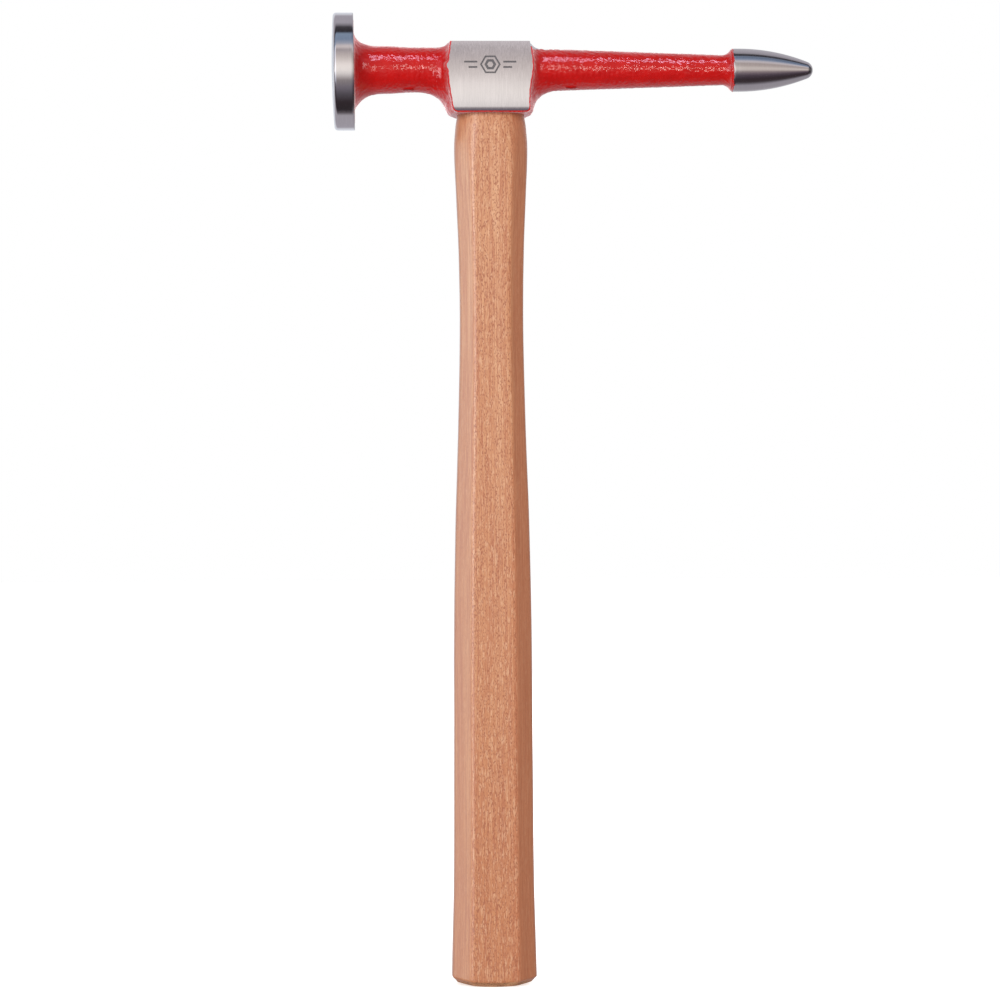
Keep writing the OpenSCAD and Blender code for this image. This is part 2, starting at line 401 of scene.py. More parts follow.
def block_curves():
    """[ring, side, (radius, x)] over the eye block, with rings spread evenly down its ends."""
    zones = ((-BLOCK_ZONE, -9.0, 88), (-9.0, 9.0, 26), (9.0, BLOCK_ZONE, 80))
    out = []
    for a, b, n in zones:
        x = np.linspace(a, b, 700)
        radius = forged_radius(x[:, None], THETA[None, :])
        rings = np.empty((n, len(THETA), 2))
        for j in range(len(THETA)):
            step = np.hypot(np.diff(x), np.diff(radius[:, j]))
            s = np.concatenate([[0], np.cumsum(step)])
            want = np.linspace(0, s[-1], n, endpoint=False)
            rings[:, j, 1] = np.interp(want, s, x)
            rings[:, j, 0] = np.interp(want, s, radius[:, j])
        out.append(rings)
    return np.concatenate(out)


def turned(profile):
    """[ring, side, (radius, x)] from a profile turned about the axis."""
    return np.repeat(profile[:, None, :], len(THETA), axis=1)


def in_space(curves):
    """Points [ring, side, (x, y, z)] about the head's axis. The disk sits a little low and leans
    back at its top."""
    r, x = curves[..., 0], curves[..., 1]
    z = r * np.sin(THETA)
    share = 1 - ease(*DISK_FADE, x)
    return np.stack([x - DISK_LEAN * z * share, r * np.cos(THETA), z - DISK_LOW * share], axis=-1)


def outward(points):
    """Unit normals of a closed grid of points."""
    along = np.gradient(points, axis=0)
    wrapped = np.concatenate([points[:, -1:], points, points[:, :1]], axis=1)
    around = (wrapped[:, 2:] - wrapped[:, :-2]) / 2
    n = np.cross(around, along)
    n /= np.maximum(np.linalg.norm(n, axis=-1, keepdims=True), 1e-9)
    return n


CURVES = np.concatenate([disk_curves(), neck_curves(), block_curves(), turned(point_profile())])
NEAR_BLOCK = np.abs(CURVES[..., 1]) < BLOCK_ZONE
FORGED = in_space(CURVES)
FORGED_N = outward(FORGED)


def to_world(p):
    """From the head's own axis to the frame, both in millimetres."""
    return p + np.array([0, 0, AXIS_Z])


def wander(scale, seed):
    """Smooth noise from -1 to 1 at each point of the forging."""
    shift = Vector((seed, 2 * seed, -seed))
    flat = FORGED.reshape(-1, 3) * scale
    return np.array([noise.noise(Vector(p) + shift) for p in flat]).reshape(FORGED.shape[:2])


# ---------------------------------------------------------------- materials

def srgb(r, g, b):
    """A colour given as 0 to 255 steps of sRGB, as linear RGBA."""
    def linear(c):
        c /= 255
        return c / 12.92 if c <= 0.04045 else ((c + 0.055) / 1.055) ** 2.4
    return (linear(r), linear(g), linear(b), 1.0)


class Tree:
    """Short ways to build a node tree."""

    def add(self, kind, inputs=(), **settings):
        """A new node. inputs is a dict by socket, or a list in the sockets' order."""
        node = self.tree.nodes.new(kind)
        for key, value in settings.items():
            setattr(node, key, value)
        pairs = inputs.items() if isinstance(inputs, dict) else enumerate(inputs)
        for key, value in pairs:
            self.join(value, node.inputs[key])
        return node

    def join(self, value, socket):
        if isinstance(value, bpy.types.NodeSocket):
            self.tree.links.new(value, socket)
        else:
            socket.default_value = value

    def math(self, operation, *values):
        return self.add("ShaderNodeMath", values, operation=operation).outputs[0]

    def ramp(self, value, *stops):
        """A colour that follows a value through (position, colour) stops."""
        node = self.add("ShaderNodeValToRGB", [value])
        elements = node.color_ramp.elements
        while len(elements) < len(stops):
            elements.new(0.5)
        for element, (at, colour) in zip(elements, stops):
            element.position = at
            element.color = colour if len(colour) == 4 else (*colour, 1.0)
        return node.outputs["Color"]


class Nodes(Tree):
    """A material's node tree."""

    def __init__(self, name):
        self.material = bpy.data.materials.new(name)
        self.material.use_nodes = True
        self.tree = self.material.node_tree
        self.shader = self.tree.nodes["Principled BSDF"]
        coordinates = self.add("ShaderNodeTexCoord")
        self.place = coordinates.outputs["Object"]
        self.normal = coordinates.outputs["Normal"]

    def set(self, **values):
        for key, value in values.items():
            self.join(value, self.shader.inputs[key.replace("_", " ")])

    def stretched(self, scale):
        """The object's coordinates in millimetres, times a scale for each axis."""
        scale = [s / MM for s in scale]
        return self.add("ShaderNodeMapping", {"Vector": self.place, "Scale": scale}).outputs[0]

    def noise(self, scale, detail=3.0, rough=0.5, distortion=0.0):
        inputs = {"Vector": self.stretched(scale), "Scale": 1.0, "Detail": detail,
                  "Roughness": rough, "Distortion": distortion}
        return self.add("ShaderNodeTexNoise", inputs).outputs["Fac"]

    def grey(self, value, *stops):
        """A ramp between plain values."""
        return self.ramp(value, *((at, (v, v, v, 1.0)) for at, v in stops))

    def mix(self, factor, a, b, blend="MIX"):
        node = self.add("ShaderNodeMix", data_type="RGBA", blend_type=blend)
        self.join(factor, node.inputs[0])
        self.join(a, node.inputs[6])
        self.join(b, node.inputs[7])
        return node.outputs[2]

    def bump(self, height, distance_mm, strength=1.0):
        inputs = {"Height": height, "Distance": distance_mm * MM, "Strength": strength}
        self.set(Normal=self.add("ShaderNodeBump", inputs).outputs["Normal"])


def steel(name, across, colour=(0.80, 0.775, 0.765), rough=(0.10, 0.2), depth=0.004, tone=0.1):
    """Bare ground steel. across is the scale of its scratches along each axis, per millimetre,
    and tone is how much darker its dull streaks are."""
    m = Nodes(name)
    scratches = m.noise(across, detail=5.0, rough=0.6)
    cloud = m.noise((0.15, 0.15, 0.15), detail=2.0)
    dull = (*(c * (1 - tone) for c in colour), 1.0)
    streaked = m.mix(m.grey(scratches, (0.32, 0.0), (0.68, 1.0)), dull, (*colour, 1.0))
    m.set(Base_Color=m.mix(m.grey(cloud, (0.4, 0.0), (0.7, 0.4)), streaked, dull))
    m.set(Metallic=1.0, Roughness=m.grey(scratches, (0.3, rough[0]), (0.7, rough[1])))
    m.bump(scratches, depth)
    return m.material


def turned_steel(name):
    """Steel turned flat, with fine rings about the head's axis."""
    m = Nodes(name)
    centred = m.add("ShaderNodeVectorMath", {0: m.place, 1: (0, 0, AXIS_Z * MM)},
                    operation="SUBTRACT").outputs[0]
    squashed = m.add("ShaderNodeVectorMath", {0: centred, 1: (0, 1 / MM, 1 / MM)},
                     operation="MULTIPLY").outputs[0]
    radius = m.add("ShaderNodeVectorMath", {0: squashed}, operation="LENGTH").outputs["Value"]
    rings = m.add("ShaderNodeTexNoise", {"W": m.math("MULTIPLY", radius, 5.0), "Scale": 1.0,
                                         "Detail": 4.0}, noise_dimensions="1D").outputs["Fac"]
    wear = m.noise((0.3, 0.3, 0.3), detail=5.0, rough=0.6)
    worn = m.mix(m.grey(wear, (0.35, 0.0), (0.65, 1.0)), (0.60, 0.585, 0.58, 1.0),
                 (0.76, 0.74, 0.73, 1.0))
    m.set(Base_Color=worn, Metallic=1.0, Roughness=m.grey(rings, (0.3, 0.16), (0.7, 0.28)))
    m.bump(rings, 0.01)
    return m.material


def enamel():
    """Thick glossy red enamel with fine orange peel."""
    m = Nodes("red_dip_enamel")
    cloud = m.noise((0.25, 0.25, 0.25), detail=3.0)
    m.set(Base_Color=m.ramp(cloud, (0.3, srgb(184, 11, 9)), (0.7, srgb(198, 16, 12))))
    m.set(Roughness=0.07, IOR=1.5, Sheen_Weight=1.0, Sheen_Roughness=0.4)
    m.set(Sheen_Tint=(1.0, 0.6, 0.6, 1.0))
    m.bump(m.noise((2.2, 2.2, 2.2), detail=2.0, rough=0.5), 0.05)
    return m.material


def cut_enamel():
    """The edge of the enamel where it was ground through, matt and a little paler."""
    m = Nodes("ground_enamel_edge")
    grain = m.noise((3.0, 3.0, 3.0), detail=3.0)
    m.set(Base_Color=m.ramp(grain, (0.35, srgb(176, 10, 14)), (0.65, srgb(204, 22, 26))))
    m.set(Roughness=0.55)
    m.bump(grain, 0.03)
    return m.material


def drop_enamel_depth_and_shade():
    """Enamel that ran and set in a drop, darker partly for its depth and partly as painted shade
    on the drop.
    """
    m = Nodes("set_drop_enamel_depth_and_shade")
    cloud = m.noise((0.8, 0.8, 0.8), detail=2.0)
    # Darker red: partly the drop's depth, partly painted shade on the drop
    m.set(Base_Color=m.ramp(cloud, (0.3, srgb(158, 10, 8)), (0.7, srgb(172, 14, 11))))
    m.set(Roughness=0.10, IOR=1.5)
    m.bump(m.noise((2.2, 2.2, 2.2), detail=2.0), 0.02)
    return m.material


def hickory():
    """Sanded hickory: broad streaks along the grain, fine fibres, redder heartwood on the right,
    a warmer, darker butt, and short dark pores and pale flecks on the front and back flats."""
    m = Nodes("hickory")
    bands = m.noise((0.30, 0.30, 0.004), detail=3.0, rough=0.55, distortion=0.4)
    fibres = m.noise((2.4, 2.4, 0.025), detail=4.0, rough=0.65)
    pores = m.noise((3.4, 3.4, 1.2), detail=1.0, rough=0.5)
    crowd = m.noise((1.6, 1.6, 0.02), detail=2.0, rough=0.5)
    flecks = m.noise((3.2, 3.2, 0.35), detail=1.0, rough=0.5)
    facing = m.add("ShaderNodeVectorMath", {0: m.normal, 1: (0, 1, 0)},
                   operation="DOT_PRODUCT").outputs["Value"]
    flat = m.grey(m.math("ABSOLUTE", facing), (0.80, 0.25), (0.96, 1.0))
    base = m.ramp(bands, (0.3, srgb(203, 139, 96)), (0.5, srgb(212, 152, 109)),
                  (0.7, srgb(220, 165, 123)))
    split = m.add("ShaderNodeSeparateXYZ", {"Vector": m.stretched((1.0, 1.0, 1.0))})
    across, _, up = split.outputs
    worn = m.add("ShaderNodeMapRange", {"Value": up, "From Min": 20.0, "From Max": 270.0,
                                        "To Min": 1.0, "To Max": 0.0}).outputs["Result"]
    base = m.mix(worn, base, (0.86, 0.69, 0.55, 1.0), "MULTIPLY")
    edge = m.math("ADD", across, m.math("MULTIPLY", bands, 3.0))
    heart = m.add("ShaderNodeMapRange", {"Value": edge, "From Min": 6.5, "From Max": 9.5},
                  interpolation_type="SMOOTHSTEP").outputs["Result"]
    base = m.mix(m.math("MULTIPLY", heart, 0.75), base, srgb(200, 122, 84))
    base = m.mix(m.grey(fibres, (0.38, 0.75), (0.60, 0.0)), base, srgb(180, 104, 66))
    light = m.math("MULTIPLY", flat, m.grey(flecks, (0.52, 0.0), (0.66, 0.45)))
    base = m.mix(light, base, srgb(236, 190, 152))
    thinned = m.math("ADD", pores, m.grey(crowd, (0.35, 0.0), (0.65, 0.12)))
    thinned = m.math("SUBTRACT", thinned, 0.06)
    dark = m.math("MULTIPLY", flat, m.grey(thinned, (0.54, 0.0), (0.64, 0.9)))
    m.set(Base_Color=m.mix(dark, base, srgb(166, 94, 58)), Roughness=0.5)
    m.set(Coat_Weight=0.6, Coat_Roughness=0.32)
    relief = m.math("SUBTRACT", m.math("MULTIPLY", fibres, 0.5), dark)
    m.bump(relief, 0.02)
    return m.material


def end_grain(name, light, dark, pore=(2.4, 2.4, 0.3)):
    """Wood cut across the grain: rings of open pores in a rough, darker face."""
    m = Nodes(name)
    pores = m.noise(pore, detail=4.0, rough=0.62)
    rings = m.noise((0.16, 0.75, 0.1), detail=3.0, distortion=0.5)
    base = m.ramp(rings, (0.35, dark), (0.65, light))
    holes = m.grey(pores, (0.54, 0.0), (0.66, 0.8))
    m.set(Base_Color=m.mix(holes, base, srgb(96, 60, 38)), Roughness=0.78)
    m.bump(m.math("MULTIPLY", holes, -1.0), 0.08)
    return m.material


# ---------------------------------------------------------------- head

def finish_piece(ob, node):
    """Puts a piece in a CAD node's place."""
    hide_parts(node)
    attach(ob, "root")
    return ob


EYE_GAP = 0.12
EYE_SIDES = 96


def eye_ring(phi, z, gap=0.0):
    """The eye's outline at a height, two flats with round ends, made wider by the gap."""
    r = EYE_W / 2 + gap
    return np.column_stack([np.cos(phi) * r + np.sign(np.cos(phi)) * EYE_HALF, np.sin(phi) * r,
                            np.full_like(phi, z)])


def from_eye_line(x, y):
    """Distance from the middle line of the eye, seen from above."""
    return np.hypot(np.maximum(np.abs(x) - EYE_HALF, 0), y)


def bare_forging():
    """The bare forging as one closed skin, before grinding."""
    rings = len(FORGED)
    ends = to_world(np.array([[HEAD_LOW[0], 0, -DISK_LOW], [HEAD_HIGH[0], 0, 0]]))
    points = np.vstack([to_world(FORGED.reshape(-1, 3)), ends])
    first, last = rings * SIDES, (rings - 1) * SIDES
    faces = grid_faces(rings, SIDES)
    faces += [(first, (j + 1) % SIDES, j) for j in range(SIDES)]
    faces += [(first + 1, last + j, last + (j + 1) % SIDES) for j in range(SIDES)]
    return make_object("head_forging", points, faces)


# The etched mark: radius and line width of its hexagons, and outer end and height of its rules
MARK_DEPTH = 0.12
MARK_CENTRE = (-0.4, 0.6)
HEXAGONS = ((3.1, 0.55), (1.5, 0.8))
CORNER_REACH = 0.29
RULES = ((8.6, 0.9), (7.2, -0.9))
RULE_START = 4.3
RULE_WIDTH = 0.6


def mark_stroke(start, end, width, reach=0.0):
    """A cutter for one straight etched line on the front cheek, given in x and z. reach carries
    it past both ends, in line widths."""
    start, end = np.array(start) + MARK_CENTRE, np.array(end) + MARK_CENTRE
    way = (end - start) / np.linalg.norm(end - start)
    start, end = start - way * reach * width, end + way * reach * width
    side = np.array([-way[1], way[0]]) * width / 2
    rings = []
    for t in np.linspace(0, 1, 7):
        middle = start + (end - start) * t
        ring = []
        for x, z in (middle - side, middle + side):
            face = CHEEK_BACK - math.sqrt(CHEEK_R ** 2 - (z - CHEEK_Z) ** 2)
            ring += [(x, face + MARK_DEPTH, z), (x, face - 1.0, z)]
        rings.append(to_world(np.array([ring[0], ring[1], ring[3], ring[2]])))
    return face_outward(closed_tube("mark", rings))


def hexagon(r):
    """A hexagon's corners, the first one again at the end."""
    return [(r * math.cos(math.radians(a)), r * math.sin(math.radians(a)))
            for a in range(0, 361, 60)]


def etched_mark():
    """A plain mark: two nested hexagons between pairs of short rules."""
    strokes = []
    for r, width in HEXAGONS:
        corners = hexagon(r)
        strokes += [(a, b, width, CORNER_REACH) for a, b in zip(corners, corners[1:])]
    for way in (-1, 1):
        for end, z in RULES:
            strokes.append(((way * RULE_START, z), (way * end, z), RULE_WIDTH))
    return strokes


FACE, RIM, CHEEK, TOP, POINT, ETCHED = range(6)


def head_piece():
    """The forging with its eye and its etched mark cut, each face ground its own way."""
    ob = face_outward(bare_forging())
    for tool in ground_tools(0.0):
        cut(ob, tool)
    phi = np.linspace(0, 2 * math.pi, EYE_SIDES, endpoint=False) + math.pi / EYE_SIDES
    ends = (AXIS_Z - BLOCK_DROP - 5, AXIS_Z + BLOCK_RISE + 5)
    eye = face_outward(closed_tube("eye", [eye_ring(phi, z, EYE_GAP) for z in ends]))
    cut(ob, eye)
    for stroke in etched_mark():
        cut(ob, mark_stroke(*stroke))
    crease(ob, 20)
    materials = [
        turned_steel("turned_face_steel"),
        steel("rim_steel", (7.0, 0.25, 0.25), rough=(0.07, 0.15), depth=0.003),
        steel("cheek_steel", (3.2, 3.2, 0.05), colour=(0.94, 0.925, 0.92), rough=(0.13, 0.21),
              depth=0.0012, tone=0.19),
        steel("top_steel", (0.15, 5.0, 5.0), rough=(0.2, 0.3), depth=0.006),
        steel("point_steel", (6.0, 0.3, 0.3), rough=(0.08, 0.17), depth=0.003),
        steel("etched_steel", (3.0, 3.0, 3.0), colour=(0.36, 0.355, 0.355), rough=(0.5, 0.7)),
    ]

    def choose(centre, normal):
        x, y, z = centre[:, 0], centre[:, 1], centre[:, 2] - AXIS_Z
        theta = np.arctan2(z, y)
        r = np.hypot(y, z)
        index = np.full(len(x), RIM)
        index[(normal[:, 0] < -0.8) & (x < RIM_FRONT + 0.3)] = FACE
        block = np.abs(x) < BLOCK_ZONE
        index[block] = CHEEK
        index[block & (normal[:, 2] > 0.9) & (z > BLOCK_RISE - 0.1)] = TOP
        index[x > BLOCK_ZONE] = POINT
        sunk = block & (y < -6) & (np.abs(x) < 11) & (np.abs(z) < 6)
        sunk &= r < cheek_radius(theta) - 0.04
        eye_wall = block & (np.abs(normal[:, 2]) < 0.2)
        eye_wall &= from_eye_line(x, y) < EYE_W / 2 + 0.2
        index[sunk | eye_wall] = ETCHED
        return index

    paint_faces(ob, materials, choose)
    return finish_piece(ob, "hammer_head")


# ---------------------------------------------------------------- enamel

# Two small drops that ran and set on the front of the underside: x, half length
DROPS = ((-27.3, 2.0), (26.8, 1.9))
DROP_ANGLE = math.radians(65)
DROP_HALF_ANGLE = 0.10
DROP_HEIGHT = 0.3

# The orange peel's waves: scale per millimetre, seed and height
PEEL = ((0.60, 1, 0.06), (1.25, 2, 0.10), (0.25, 3, 0.03))
RIPPLE_LENGTH = 1.75
RIPPLE_HEIGHT = 0.05
MEAN_SHARE = 0.8
DISK_THINNING = 0.7
POINT_THINNING = 0.6
THINNEST = 0.05

# Where the enamel ends: a height above the axis at the scuffed top, a distance from the disk's
# edge and one from the point's shoulder
SCUFF_Z = 6.4
DISK_MARGIN = 2.4
POINT_MARGIN = 0.35

# How deep the shell lies in the forging: its inner skin, then its outer and inner skins beyond
# the enamel's edge, and how far its ground edges lie below the steel's
ROOT, TUCK, TUCK_ROOT = 0.06, 0.12, 0.3
FLUSH = 0.01


def drop_share(x, theta):
    """1 within a set drop and 0 away from them."""
    away = (theta + math.pi - DROP_ANGLE + math.pi) % (2 * math.pi) - math.pi
    around = (away / DROP_HALF_ANGLE) ** 4
    return sum(np.exp(-((x - at) / half) ** 4 - around) for at, half in DROPS)


def coat_thickness():
    """How thick the enamel lies: orange peel, ripples beside the block and two set drops. It is
    thin on the disk's back and beside the point."""
    x = FORGED[..., 0]
    ripple = np.sin(2 * math.pi * (x + 0.5 * wander(0.5, 4)) / RIPPLE_LENGTH)
    beside = ease(-34, -22, x) * (1 - ease(-17, -15, x)) + ease(17, 20, x) * (1 - ease(40, 60, x))
    front = ease(2.0, 6.0, -FORGED[..., 1])
    peel = sum(height * wander(scale, seed) for scale, seed, height in PEEL)
    thick = MEAN_SHARE * COAT + peel + RIPPLE_HEIGHT * ripple * beside * front
    thick += 0.08 * NEAR_BLOCK * ease(8.0, 11.0, CURVES[..., 0])
    on_disk = (x < DISK_BACK + 0.6) * ease(10.0, 13.0, CURVES[..., 0])
    thick *= 1 - DISK_THINNING * on_disk
    thick *= 1 - POINT_THINNING * ease(POINT_START - 2.5, POINT_START - 0.5, x)
    return np.maximum(thick, THINNEST) + DROP_HEIGHT * drop_share(x, THETA)


def coat_bare():
    """Where the forging has no enamel, for each point of its grid."""
    radius, x = CURVES[..., 0], CURVES[..., 1]
    y, z = radius * np.cos(THETA), radius * np.sin(THETA)
    rag = wander(0.55, 5) + 0.5 * wander(1.4, 6)
    scuffed = (x > 10) & (z > SCUFF_Z + 0.5 * rag)
    margin = radius > FACE_R - DISK_MARGIN + 0.5 * rag
    disk = (x < DISK_BACK - 0.02) | ((x < DISK_BACK + 1) & margin)
    point = x > POINT_START + POINT_MARGIN + 0.3 * rag
    eye = (z < 2 - BLOCK_DROP) & (from_eye_line(x, y) < EYE_W / 2 + 0.5)
    return (NEAR_BLOCK & (scuffed | eye)) | disk | point


GLOSSY, GROUND, SET = range(3)


def coat_piece():
    """The enamel as a closed shell whose edges dip under the bare steel, ground off flush with
    the cheeks and the top of the eye block."""
    painted = ~coat_bare()
    top = FORGED + FORGED_N * np.where(painted, coat_thickness(), -TUCK)[..., None]
    inner = FORGED - FORGED_N * np.where(painted, ROOT, TUCK_ROOT)[..., None]
    quads = np.array(grid_faces(len(FORGED), SIDES))
    kept = quads[painted.reshape(-1)[quads].any(axis=1)]
    ob = shell("enamel_skin", to_world(top.reshape(-1, 3)), to_world(inner.reshape(-1, 3)), kept)
    face_outward(ob)
    for tool in ground_tools(FLUSH):
        cut(ob, tool)
    crease(ob, 40)

    def choose(centre, normal):
        x, y, z = centre[:, 0], centre[:, 1], centre[:, 2] - AXIS_Z
        index = np.full(len(x), GLOSSY)
        cheek = np.hypot(np.abs(y) + CHEEK_BACK, z - CHEEK_Z) - CHEEK_R
        index[(np.abs(x) < 17) & ((cheek > -0.03) | (z > BLOCK_RISE - 0.03))] = GROUND
        # The set drops get the darker enamel, which is partly painted shade
        index[drop_share(x, np.arctan2(z, y)) > 0.45] = SET
        return index

    paint_faces(ob, [enamel(), cut_enamel(), drop_enamel_depth_and_shade()], choose)
    return finish_piece(ob, "enamel_coat")


def shell(name, outer, inner, quads):
    """A closed shell between two grids of points that share the same quads."""
    used = np.unique(quads)
    number = np.full(len(outer), -1)
    number[used] = np.arange(len(used))
    quads = number[quads]
    count = len(used)
    edges = {}
    for q in quads.tolist():
        for a, b in zip(q, q[1:] + q[:1]):
            edges[(a, b)] = True
    rim = [(a, b) for a, b in edges if (b, a) not in edges]
    faces = [tuple(q) for q in quads.tolist()]
    faces += [tuple(count + k for k in reversed(q)) for q in quads.tolist()]
    faces += [(b, a, count + a, count + b) for a, b in rim]
    return make_object(name, np.vstack([outer[used], inner[used]]), faces)


# ---------------------------------------------------------------- handle and wedges

# Handle stations: height, width and depth
GRIP = np.array([
    [0.0, 24.9, 17.8], [1.6, 28.1, 21.0], [34, 26.6, 20.0], [78, 26.1, 19.6],
    [118, 25.7, 19.4], [154, 24.4, 18.8], [184, 22.4, 17.7], [219, 21.0, 16.8],
    [244, 21.6, 17.0], [264, 23.2, 17.8], [SHOULDER_Z - 11, 24.4, 18.4],
    [SHOULDER_Z - 4, 23.6, 17.9], [SHOULDER_Z, 22.4, 17.0]])
FLAT_SHARE = 0.57
CHAMFER = 1.6
TENON_BEVEL = 0.25

# Powers that make an octagon's ridges sharp or leave an oval, the grip's unevenness as a share
# of its radius and its length, and the curve of the butt's dome per millimetre
SHARP_POWER = 40
OVAL_POWER = 12
UNEVEN, UNEVEN_LENGTH = 0.0022, 14
BUTT_CURVE, DOME_HEIGHT = 0.007, 8


def smooth_station(z):
    """Width and depth of the grip at height z, by a smooth curve through the stations."""
    i = int(np.clip(np.searchsorted(GRIP[:, 0], z) - 1, 1, len(GRIP) - 2))
    p = [GRIP[np.clip(k, 1, len(GRIP) - 1)] for k in (i - 1, i, i + 1, i + 2)]
    t = (z - p[1][0]) / (p[2][0] - p[1][0])
    value = 0.5 * (2 * p[1] + (p[2] - p[0]) * t + (2 * p[0] - 5 * p[1] + 4 * p[2] - p[3]) * t ** 2
                   + (3 * p[1] - p[0] - 3 * p[2] + p[3]) * t ** 3)
    return value[1], value[2]


def octagon_radius(phi, width, depth, power):
    """Radius of a soft-ridged octagon with broad front and back flats."""
    flat = FLAT_SHARE * width / 2
    cut_back = (flat + depth / 2) / math.sqrt(2)
    total = np.abs(np.cos(phi) / (width / 2)) ** power
    total += np.abs(np.sin(phi) / (depth / 2)) ** power
    for a in (math.pi / 4, -math.pi / 4):
        total += np.abs(np.cos(phi - a) / cut_back) ** power
    return total ** (-1 / power)


def grip_ring(phi, z):
    """One ring of the grip, whose ridges fade into an oval below the head."""
    inset = max(CHAMFER - z, 0.0)
    width, depth = smooth_station(max(z, CHAMFER))
    fade = float(ease(SHOULDER_Z - 30, SHOULDER_Z - 4, z))
    power = SHARP_POWER - (SHARP_POWER - OVAL_POWER) * fade
    r = octagon_radius(phi, width - 2 * inset, depth - 2 * inset, power)
    places = [Vector((3 * math.cos(a), 3 * math.sin(a), z / UNEVEN_LENGTH)) for a in phi]
    r = r * (1 + UNEVEN * np.array([noise.noise(place) for place in places]))
    x = r * np.cos(phi)
    dome = BUTT_CURVE * x * x * (1 - float(ease(0, DOME_HEIGHT, z)))
    return np.column_stack([x, r * np.sin(phi), z + dome])


def taper(middle, top_size, tip_size, width, depth, lift=0.0):
    """Rings of a wedge whose thickness runs along x and its width along y."""
    rings = []
    for z, t in ((TENON_TOP - depth, tip_size), (TENON_TOP + lift, top_size)):
        x, y = t / 2, width / 2
        rings.append(np.array([[middle - x, -y, z], [middle + x, -y, z],
                               [middle + x, y, z], [middle - x, y, z]]))
    return rings


def quarter_turned(rings):
    """Rings turned a quarter about the handle."""
    return [ring[:, [1, 0, 2]] * [1, -1, 1] for ring in rings]


WOOD_TOP, WOOD_TIP, WOOD_DEPTH = 2.6, 0.5, 17.0
STEEL_TOP, STEEL_TIP, STEEL_W, STEEL_DEPTH = 1.8, 0.4, 8.4, 12.0
STEEL_REACH = (WEDGE_LOW[0] + WEDGE_HIGH[0]) / 2
WEDGE_GAP = 0.05


def wood_slot(gap):
    """A cutter for the tenon's kerf, thicker than its wedge by the gap."""
    rings = taper(0, WOOD_TOP + gap, WOOD_TIP + gap, 40, WOOD_DEPTH + gap, lift=1.0)
    return face_outward(closed_tube("slot", quarter_turned(rings)))


def steel_slot(way, gap):
    """A cutter for a steel wedge's slot, larger than the wedge by the gap."""
    rings = taper(way * STEEL_REACH, STEEL_TOP + gap, STEEL_TIP + gap, STEEL_W + gap,
                  STEEL_DEPTH + gap, lift=1.0)
    return face_outward(closed_tube("slot", rings))


def handle_piece():
    """The grip and its tenon as one solid, with slots for the wedges."""
    phi = np.linspace(-math.pi, math.pi, 160, endpoint=False)
    low = [0.0, 0.5, 1.1, 1.5, 1.7, 2.2, 3.0, 4.2, 5.6, 7.0]
    heights = np.concatenate([low, np.linspace(8.5, 280, 148), np.linspace(281, SHOULDER_Z, 12)])
    rings = [grip_ring(phi, z) for z in heights]
    rings += [eye_ring(phi, z) for z in (SHOULDER_Z + 0.02, TENON_TOP - TENON_BEVEL)]
    rings.append(eye_ring(phi, TENON_TOP, -0.2))
    ob = face_outward(closed_tube("hickory_handle", rings))
    cut(ob, wood_slot(WEDGE_GAP))
    for way in (-1, 1):
        cut(ob, steel_slot(way, WEDGE_GAP))
    crease(ob, 40)
    materials = [hickory(),
                 end_grain("handle_end_grain", srgb(202, 146, 106), srgb(168, 112, 76))]
    paint_faces(ob, materials, lambda centre, normal: (
        (centre[:, 2] < CHAMFER) | (centre[:, 2] > TENON_TOP - 0.3)).astype(int))
    return finish_piece(ob, "handle")


def wood_wedge_piece():
    """The wooden wedge along the tenon's middle, cut by the steel ones."""
    rings = quarter_turned(taper(0, WOOD_TOP, WOOD_TIP, EYE_L - 2 * WEDGE_GAP, WOOD_DEPTH))
    ob = face_outward(closed_tube("kerf_wedge", rings))
    for way in (-1, 1):
        cut(ob, steel_slot(way, WEDGE_GAP))
    crease(ob, 30)
    set_materials(ob, end_grain("wedge_end_grain", srgb(172, 118, 78), srgb(138, 90, 58)))
    return finish_piece(ob, "wood_wedge")


def steel_wedge_piece(node, way):
    """A rolled steel wedge with eased corners and a dull, uneven skin."""
    rings = taper(way * STEEL_REACH, STEEL_TOP, STEEL_TIP, STEEL_W, STEEL_DEPTH)
    ob = face_outward(closed_tube(node + "_driven", rings))
    bevel = ob.modifiers.new("bevel", "BEVEL")
    bevel.width = 0.15 * MM
    bevel.segments = 2
    apply_modifiers(ob)
    crease(ob, 30)
    set_materials(ob, steel(node + "_steel", (1.5, 1.5, 1.5), colour=(0.42, 0.41, 0.41),
                            rough=(0.35, 0.55), depth=0.05))
    return finish_piece(ob, node)


head_piece()
coat = coat_piece()
handle = handle_piece()
wood_wedge_piece()
steel_wedge_piece("steel_wedge_front", -1)
steel_wedge_piece("steel_wedge_rear", 1)


# ---------------------------------------------------------------- studio

# The camera, in metres from here on
VIEW_DISTANCE = 1.2
VIEW_WIDTH = 1 / 3
VIEW_CENTRE = Vector((0.0026, 0, 0.1611))
VIEW_TURN = math.radians(2.3)
VIEW_ROLL = math.radians(0.25)
HEAD_SIGHT = math.degrees(math.atan((AXIS_Z * MM - VIEW_CENTRE.z) / VIEW_DISTANCE))


def add_camera():
    """A long lens before the hammer and a little to its left."""
    data = bpy.data.cameras.new("camera")
    data.sensor_width = 36
    data.lens = data.sensor_width * VIEW_DISTANCE / VIEW_WIDTH
    data.clip_end = 50
    cam = bpy.data.objects.new("camera", data)
    bpy.context.collection.objects.link(cam)
    away = Vector((-math.sin(VIEW_TURN), -math.cos(VIEW_TURN), 0))
    cam.location = VIEW_CENTRE + away * VIEW_DISTANCE
    cam.rotation_euler = (-away).to_track_quat("-Z", "Y").to_euler()
    cam.rotation_euler.rotate_axis("Z", -VIEW_ROLL)
    bpy.context.scene.camera = cam


